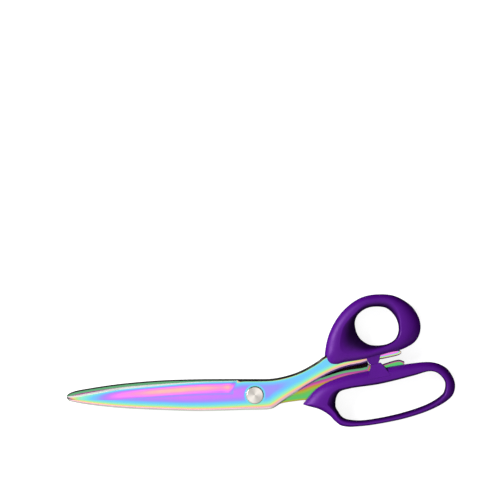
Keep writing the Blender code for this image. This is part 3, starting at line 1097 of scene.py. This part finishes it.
@dataclass
class Bow:
    """One moulded handle, with its stop.

    A station is (outside x, outside y, hole x, hole y, crest, scoop) with places in
    millimetres. The crest is the share of the way to the hole where the front face is
    highest, and the scoop is how much the face hollows from there to the hole.
    """

    name: str
    node: str
    body: Body
    rows: Rows
    stop_foot: tuple[Row, Row]
    stop_ends: Row
    stop_side: int
    leaf: Leaf
    tang_start: float
    back_crest: float
    steps: int = 12
    across: int = 28
    roundness: float = 2.3
    scoop_shape: Row = (0.36, 0.38, 2.6, 9)
    contact: Row = (77.9, 20.3)
    slope: float = 0.18
    contact_gap: float = 0.06
    stop_thickness: float = 10.0
    stop_flare: float = 1.2
    foot_draft: Row = (0.0, 2.0)
    end_draft: float = 0.01
    clearance: float = 0.3
    end_room: float = 0.6
    smooth_angle: float = 32.0
    height: float = field(init=False)

    def __post_init__(self) -> None:
        """Take the height from the CAD bow."""
        self.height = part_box(self.node)[1].z / MM

    def face(self, share: float, crest: float, scoop: float) -> float:
        """Height of a face, from 0 at the middle plane to 1.

        Args:
            share: way from the outside, 0, to the hole, 1.
            crest: share at which the face is highest.
            scoop: 0 for a round fall into the hole, 1 for a wide hollow.

        Returns:
            The height as a share of half the bow's thickness.
        """
        if share < crest:
            return (1 - (1 - share / crest) ** self.roundness) ** (1 / self.roundness)
        fall = (share - crest) / (1 - crest)
        round_fall = (1 - fall**self.roundness) ** (1 / self.roundness)
        slope, dip, power, rim = self.scoop_shape
        hollow = (1 - slope * fall - dip * fall**power) * (1 - fall**rim) ** (1 / rim)
        return round_fall * (1 - scoop) + hollow * scoop

    def build(self) -> bpy.types.Object:
        """Model the bow: a torus drawn out to the bow's outlines, with its stop and tang slot.

        Returns:
            The finished bow, still without its plastic.
        """
        stations = smooth(self.rows, self.steps, closed=True)
        ripple = 0.5 - 0.5 * np.cos(np.linspace(0, math.pi, self.across // 2 + 1))
        half = self.height / 2
        rings = []
        for row in stations:
            outside, hole, crest, scoop = row[:2], row[2:4], row[4], row[5]
            shares = np.concatenate([crest * ripple, crest + (1 - crest) * ripple[1:]])
            front = [(share, self.face(share, crest, scoop)) for share in shares]
            back = [(share, -self.face(share, self.back_crest, 0.0)) for share in shares[-2:0:-1]]
            rings.append(
                [(*(outside + (hole - outside) * s), half * (1 + h)) for s, h in front + back]
            )
        Bench.clear()
        bpy.ops.mesh.primitive_torus_add(major_segments=len(rings), minor_segments=len(rings[0]))
        piece = Bench.name(bpy.context.object, self.name)
        Bench.place(piece, np.array(rings).reshape(-1, 3) * MM)
        Bench.tidy(piece, 1e-7)
        Bench.boolean(piece, self.stop(), "UNION")
        Bench.boolean(piece, self.tang_room())
        Bench.shade(piece, self.smooth_angle)
        return piece

    def stop(self) -> bpy.types.Object:
        """Model the tapered stop: a cube drawn out from its foot to the face that meets the other.

        Returns:
            The stop, a solid of its own.
        """
        middle = self.height / 2
        (foot_a, foot_b), (end_a, end_b) = np.array(self.stop_foot), self.stop_ends
        contact_x, contact_y = self.contact
        gap = self.stop_side * self.contact_gap
        meet = [
            np.array((x, contact_y + self.slope * (x - contact_x) + gap)) for x in (end_a, end_b)
        ]
        along_foot = (foot_b - foot_a) / np.linalg.norm(foot_b - foot_a)
        Bench.clear()
        bpy.ops.mesh.primitive_cube_add(size=2.0)
        piece = Bench.name(bpy.context.object, self.name + "_stop")
        bpy.ops.object.mode_set(mode="EDIT")
        bpy.ops.mesh.subdivide(number_cuts=3)
        bpy.ops.object.mode_set(mode="OBJECT")
        places = []
        for vert in piece.data.vertices:
            x, y, z = vert.co
            draft = abs(z) ** 2
            left = foot_a + along_foot * self.foot_draft[0] * draft
            right = foot_b - along_foot * self.foot_draft[1] * draft
            foot = left + (right - left) * (x + 1) / 2
            inset = self.end_draft * draft
            end = meet[0] + (meet[1] - meet[0]) * ((x + 1) / 2 * (1 - 2 * inset) + inset)
            depth = self.stop_thickness / 2 + self.stop_flare * (1 - y) / 2
            places.append((*(foot + (end - foot) * (y + 1) / 2), middle + depth * z))
        Bench.place(piece, np.array(places) * MM)
        Bench.tidy(piece, 1e-7)
        return piece

    def tang_room(self) -> bpy.types.Object:
        """Model the slot that the leaf's tang fills, a little larger all round.

        Returns:
            The slot as a solid, for cutting.
        """
        rows = []
        for row in self.leaf.stations():
            if row[0] > self.tang_start:
                across = row[2:] - row[:2]
                out = across / np.linalg.norm(across) * self.clearance
                rows.append((*(row[:2] - out), *(row[2:] + out)))
        last, before = np.array(rows[-1]), np.array(rows[-2])
        rows.append(tuple(last + (last - before) * self.end_room / np.linalg.norm(last - before)))
        low, high = self.leaf.low - self.clearance, self.leaf.high + self.clearance
        rings = [
            [(a, b, low), (a, b, high), (c, d, high), (c, d, low), (a, b, low)]
            for a, b, c, d in rows
        ]
        return Bench.lofted(self.name + "_slot", np.array(rings))

    def paint(self, piece: bpy.types.Object) -> None:
        """Store the plastic's painted shade: how far each point lies down the hollow round the
        hole, from 0 to 1.

        Args:
            piece: the finished bow.
        """
        shares = np.linspace(0.0, 1.0, self.across)
        shade_depths, tree = [], kdtree.KDTree(len(self.rows) * self.steps * self.across)
        for row in smooth(self.rows, self.steps, closed=True):
            outside, hole, crest, scoop = row[:2], row[2:4], row[4], row[5]
            for share in shares:
                tree.insert((*(outside + (hole - outside) * share), 0.0), len(shade_depths))
                fall = max(share - crest, 0.0) / (1 - crest)
                shade_depths.append(float(ease(fall, 0.0, 1.0 - 0.3 * scoop)))
        tree.balance()
        places = [(vert.co.x / MM, vert.co.y / MM, 0.0) for vert in piece.data.vertices]
        nearest = [tree.find(place)[1] for place in places]
        Bench.attribute(piece, "hollow", np.array(shade_depths)[nearest])

    def dress(self, plastic: bpy.types.Material) -> None:
        """Build the bow and give it its plastic.

        Args:
            plastic: the material that both bows wear.
        """
        piece = self.build()
        # Store the painted shade down the hollows.
        self.paint(piece)
        Bench.finish(piece, plastic, self.body, self.node, Slot.PLASTIC)


THUMB_ROWS: Rows = (
    (45.7, 26.5, 66.2, 41.9, 0.48, 1.0),
    (48.6, 40.2, 65.5, 47.7, 0.55, 1.0),
    (57.0, 54.3, 68.1, 53.2, 0.74, 0.8),
    (70.5, 64.1, 74.9, 57.2, 0.62, 0.3),
    (88.5, 65.5, 84.8, 57.2, 0.46, 0.2),
    (97.4, 61.9, 89.2, 54.4, 0.60, 0.2),
    (104.0, 56.3, 92.3, 50.2, 0.76, 0.1),
    (108.1, 48.0, 93.9, 45.2, 0.88, 0.1),
    (108.0, 40.6, 93.7, 40.6, 0.88, 0.2),
    (104.9, 34.9, 91.8, 36.6, 0.88, 0.4),
    (98.7, 30.8, 88.0, 33.9, 0.86, 0.9),
    (91.0, 28.0, 83.3, 32.6, 0.74, 1.0),
    (73.6, 23.3, 75.3, 32.8, 0.44, 1.0),
    (57.9, 20.5, 69.7, 36.0, 0.40, 1.0),
    (52.4, 19.0, 68.3, 37.7, 0.44, 1.0),
    (48.1, 19.6, 67.3, 39.2, 0.46, 1.0),
    (45.9, 22.4, 66.7, 40.6, 0.47, 1.0),
)
FINGER_ROWS: Rows = (
    (31.8, -6.4, 52.8, -6.2, 0.74, 0.9),
    (33.1, -3.8, 52.9, -3.6, 0.74, 0.9),
    (40.9, 4.5, 55.1, 1.6, 0.74, 0.6),
    (54.0, 10.9, 61.9, 4.1, 0.78, 0.2),
    (77.6, 16.4, 82.1, 7.2, 0.80, 0.0),
    (101.1, 20.4, 103.1, 12.4, 0.80, 0.0),
    (114.8, 21.5, 113.9, 15.4, 0.82, 0.0),
    (121.4, 19.9, 118.1, 14.9, 0.84, 0.0),
    (126.6, 16.3, 121.4, 12.8, 0.85, 0.0),
    (130.9, 8.0, 124.5, 8.0, 0.82, 0.0),
    (129.9, 0.7, 123.7, 2.1, 0.72, 0.0),
    (126.0, -3.6, 121.2, -0.9, 0.58, 0.0),
    (115.8, -9.4, 112.6, -6.1, 0.42, 0.0),
    (98.5, -15.3, 95.9, -11.8, 0.36, 0.0),
    (76.3, -19.7, 76.3, -15.9, 0.36, 0.0),
    (66.4, -20.7, 68.4, -16.7, 0.38, 0.0),
    (61.0, -20.9, 62.5, -16.3, 0.44, 0.0),
    (56.2, -20.0, 59.0, -15.4, 0.48, 0.1),
    (52.3, -17.1, 56.4, -13.6, 0.53, 0.3),
    (48.6, -13.3, 54.6, -10.9, 0.60, 0.5),
    (42.1, -9.4, 53.2, -8.6, 0.68, 0.7),
    (36.6, -7.8, 52.8, -7.2, 0.73, 0.85),
)


# ---------------------------------------------------------------- pivot


@dataclass
class Pivot:
    """The screw, nut and washers on the pivot axis, sized from their CAD nodes."""

    rim: float = 0.5
    pin_radius: float = 3.0
    thread_radius: float = 2.5
    thread_pitch: float = 0.7
    thread_depth: float = 0.18
    nut_clearance: float = 0.3
    washer_clearance: float = 0.3
    soft_rim: float = 0.08
    slots: int = 4
    slot_width: float = 1.4
    slot_depth: float = 1.3
    wave: float = 0.14

    def span(self, node: str) -> tuple[float, float, float]:
        """A node's lowest and highest z and its outer radius, in millimetres."""
        low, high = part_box(node)
        return low.z / MM, high.z / MM, (high.x - low.x) / 2 / MM

    def screw(self) -> bpy.types.Object:
        """Turn the screw: a flat head with a rounded rim, a pin and a threaded end.

        Returns:
            The finished screw.
        """
        low, high, radius = self.span("pivot_screw")
        shoulder = self.span("head_washer")[1] + 0.3
        step = self.span("spring_washer")[0]
        rows: list[Row] = [(0.0, low), (self.thread_radius - 0.4, low)]
        z = low + 0.3
        while z + self.thread_pitch < step - 0.1:
            rows.append((self.thread_radius, z + 0.25 * self.thread_pitch))
            rows.append((self.thread_radius - self.thread_depth, z + 0.75 * self.thread_pitch))
            z += self.thread_pitch
        rows += [(self.thread_radius, step), (self.pin_radius, step + 0.3)]
        rows += [(self.pin_radius, shoulder), (radius - 0.15, shoulder), (radius, shoulder + 0.15)]
        rows += [(radius, high - 1.3 * self.rim), (radius - self.rim, high - 0.06)]
        rows.append((radius - self.rim - 0.1, high))
        rows += [(radius * share, high) for share in (0.86, 0.75, 0.5, 0.25, 0.0)]
        piece = Bench.turned("pivot_screw_head", self.metres(rows))
        Bench.shade(piece)
        return piece

    def nut(self) -> bpy.types.Object:
        """Turn the round nut and cut the spanner slots in its rim.

        Returns:
            The finished nut.
        """
        low, high, radius = self.span("tension_nut")
        bore = self.thread_radius + self.nut_clearance
        rows: list[Row] = [(bore + 0.25, low), (radius - 0.4, low), (radius - 0.1, low + 0.1)]
        rows += [(radius, low + 0.4), (radius, high - 0.15), (radius - 0.15, high)]
        rows += [(bore + 0.2, high), (bore, high - 0.2), (bore, low + 0.25)]
        piece = Bench.turned("tension_nut_round", self.metres(rows))
        middle = (low + high) / 2 * MM
        size = (2 * self.slot_depth * MM, self.slot_width * MM, 3 * (high - low) * MM)
        for index in range(self.slots):
            turn = math.tau * (index + 0.5) / self.slots
            where = (radius * MM * math.cos(turn), radius * MM * math.sin(turn), middle)
            Bench.clear()
            bpy.ops.mesh.primitive_cube_add(
                size=1.0, location=where, rotation=(0, 0, turn), scale=size
            )
            bpy.ops.object.transform_apply(location=True, rotation=True, scale=True)
            Bench.boolean(piece, bpy.context.object)
        Bench.shade(piece)
        return piece

    def washer(self, node: str, waves: int = 0) -> bpy.types.Object:
        """Turn a washer with softened rims, flat or sprung into waves.

        Args:
            node: its CAD node.
            waves: how many waves it has in a turn.

        Returns:
            The finished washer.
        """
        low, high, radius = self.span(node)
        bore, soft = self.pin_radius + self.washer_clearance, self.soft_rim
        lift = self.wave if waves else 0.0
        low, high = low + lift, high - lift
        rows: list[Row] = [(bore, low + soft), (bore + soft, low), (radius - soft, low)]
        rows += [(radius, low + soft), (radius, high - soft), (radius - soft, high)]
        rows += [(bore + soft, high), (bore, high - soft)]
        piece = Bench.turned(node + "_ring", self.metres(rows))
        for vert in piece.data.vertices:
            vert.co.z += lift * MM * math.sin(waves * math.atan2(vert.co.y, vert.co.x))
        Bench.shade(piece)
        return piece

    @staticmethod
    def metres(rows: list[Row]) -> Rows:
        """Rows of millimetres as rows of metres."""
        return tuple(tuple(value * MM for value in row) for row in rows)

    def dress(self, turned: bpy.types.Material, sheet: bpy.types.Material) -> None:
        """Build every piece of the pivot and give each its steel.

        Args:
            turned: the steel of the screw and the nut.
            sheet: the steel of the washers.
        """
        Bench.finish(self.screw(), turned, Body.THUMB, "pivot_screw", Slot.TURNED)
        Bench.finish(self.nut(), turned, Body.NUT, "tension_nut", Slot.TURNED)
        for node, body, waves in (
            ("head_washer", Body.THUMB, 0),
            ("slip_washer", Body.FINGER, 0),
            ("spring_washer", Body.FINGER, 3),
        ):
            Bench.finish(self.washer(node, waves), sheet, body, node, Slot.WASHER)


# ---------------------------------------------------------------- studio


@dataclass
class Studio:
    """A pale floor, soft light and a camera straight above."""

    view_side: float = 0.327
    view_centre: Row = (-0.0032, 0.0948)
    view_level: float = 0.01
    camera_height: float = 3.0
    floor_side: float = 24.0
    floor_drop: float = 0.00005
    floor_colour: Row = (0.36, 0.36, 0.36, 1.0)
    floor_glow: float = 0.84
    softbox_side: float = 0.6
    softbox_aim: Row = (0.02, 0.02, 0.0)
    card_side: Row = (0.45, 0.89)
    card_span: Row = (0.1, 0.35)
    card_top: Row = (0.66, 0.5)
    strip: float = 1.08
    strip_span: Row = (0.44, 0.26)
    wall: float = 0.85
    wall_span: Row = (-0.1, -0.35)
    wall_top: Row = (0.75, 0.55)
    horizon: Row = (-0.05, 0.04)
    room: float = 0.16
    under: float = 0.01

    def floor(self) -> None:
        """The plane that the shears lie on."""
        Bench.clear()
        bpy.ops.mesh.primitive_plane_add(size=self.floor_side, location=(0, 0, -self.floor_drop))
        floor = Bench.name(bpy.context.object, "floor")
        sheet = Sheet("pale_floor")
        sheet.set(Base_Color=self.floor_colour, Roughness=0.9, Specular_IOR_Level=0.0)
        sheet.set(Emission_Color=WHITE, Emission_Strength=self.floor_glow)
        floor.data.materials.append(sheet.material)
        floor.visible_diffuse = False
        floor.visible_glossy = False

    def area(self, name: str, where: Row, power: float) -> None:
        """Hang one square soft light, aimed at the shears.

        Args:
            name: the light's name.
            where: its place.
            power: its power, in watts.
        """
        lamp = bpy.data.lights.new(name, "AREA")
        lamp.shape = "SQUARE"
        lamp.size = self.softbox_side
        lamp.energy = power
        light = bpy.data.objects.new(name, lamp)
        light.visible_camera = False
        bpy.context.scene.collection.objects.link(light)
        light.location = where
        aim = Vector(self.softbox_aim) - Vector(where)
        light.rotation_euler = aim.to_track_quat("-Z", "Y").to_euler()

    def world(self) -> None:
        """The room: a light strip overhead, a pale wall in front, and a dark card behind."""
        world = bpy.data.worlds.new("studio")
        bpy.context.scene.world = world
        world.use_nodes = True
        room = Nodes(world.node_tree)
        where = room.add("TexCoord").outputs["Generated"]
        x, y, z = room.add("SeparateXYZ", Vector=where).outputs
        side = room.math("MULTIPLY", y, self.card_side[1])
        side = room.math("MULTIPLY_ADD", x, self.card_side[0], side)
        strip = room.rise(room.math("ABSOLUTE", x), *self.strip_span, self.strip)
        wall = room.rise(y, *self.wall_span, self.wall)
        wall = room.math("MULTIPLY", wall, room.rise(z, *self.wall_top))
        light = room.math("MAXIMUM", room.math("MAXIMUM", strip, wall), self.room)
        card = room.rise(side, *self.card_span)
        card = room.math("MULTIPLY", card, room.rise(z, *self.card_top))
        light = room.math("MULTIPLY", light, room.math("SUBTRACT", 1.0, card))
        light = room.math("MULTIPLY", light, room.rise(z, *self.horizon))
        seen = room.add("LightPath").outputs["Is Camera Ray"]
        light = room.math("MAXIMUM", light, room.math("MAXIMUM", seen, self.under))
        backdrop = world.node_tree.nodes["Background"]
        room.feed(backdrop, "Strength", light)
        room.feed(backdrop, "Color", WHITE)

    def camera(self) -> None:
        """A long lens straight above, framing the shears in the lower half."""
        data = bpy.data.cameras.new("camera")
        data.lens = data.sensor_width * (self.camera_height - self.view_level) / self.view_side
        data.clip_end = 100.0
        camera = bpy.data.objects.new("camera", data)
        bpy.context.scene.collection.objects.link(camera)
        camera.location = (*self.view_centre, self.camera_height)
        bpy.context.scene.camera = camera

    def build(self) -> None:
        """Set up the whole studio."""
        bpy.context.scene.view_settings.view_transform = "Standard"
        self.floor()
        self.world()
        self.area("key_softbox", (-1.02, 0.41, 0.69), 38.0)
        self.area("low_softbox", (-0.1, -0.72, 0.95), 2.0)
        self.camera()


def main() -> None:
    """Build the shears piece by piece, then the studio."""
    logging.basicConfig(level=logging.INFO, format="%(name)s: %(message)s")
    film = FilmFinish().material()
    plastic = PlasticFinish().material()
    front = Leaf(
        "front_leaf", "front_blade", Body.THUMB,
        outward=1, shank=FRONT_SHANK, shank_steps=FRONT_STEPS,
    )
    rear = Leaf(
        "rear_leaf", "rear_blade", Body.FINGER,
        outward=-1, shank=REAR_SHANK, shank_steps=REAR_STEPS, blade=REAR_BLADE,
        inner_chamfer=REAR_CHAMFER, notch_x=73.0,
    )
    front.dress(film)
    rear.dress(film)
    thumb = Bow(
        "thumb_bow", "thumb_handle", Body.THUMB, THUMB_ROWS,
        stop_foot=((71.5, 26.5), (84.0, 28.5)), stop_ends=(75.0, 80.9), stop_side=1,
        leaf=front, tang_start=30.0, back_crest=0.6,
    )
    thumb.dress(plastic)
    finger = Bow(
        "finger_bow", "finger_handle", Body.FINGER, FINGER_ROWS,
        stop_foot=((73.9, 10.0), (90.5, 13.5)), stop_ends=(76.0, 82.4), stop_side=-1,
        leaf=rear, tang_start=20.0, back_crest=0.5, stop_flare=2.6,
    )
    finger.dress(plastic)
    turned = SteelFinish("spun_steel_with_painted_sheen", SteelLook.SPUN, (236, 230, 222), 0.3)
    rolled = SteelFinish("rolled_steel", SteelLook.ROLLED, (190, 190, 188), 0.34)
    Pivot().dress(turned.material(), rolled.material())
    Studio().build()


if __name__ == "__main__":
    main()
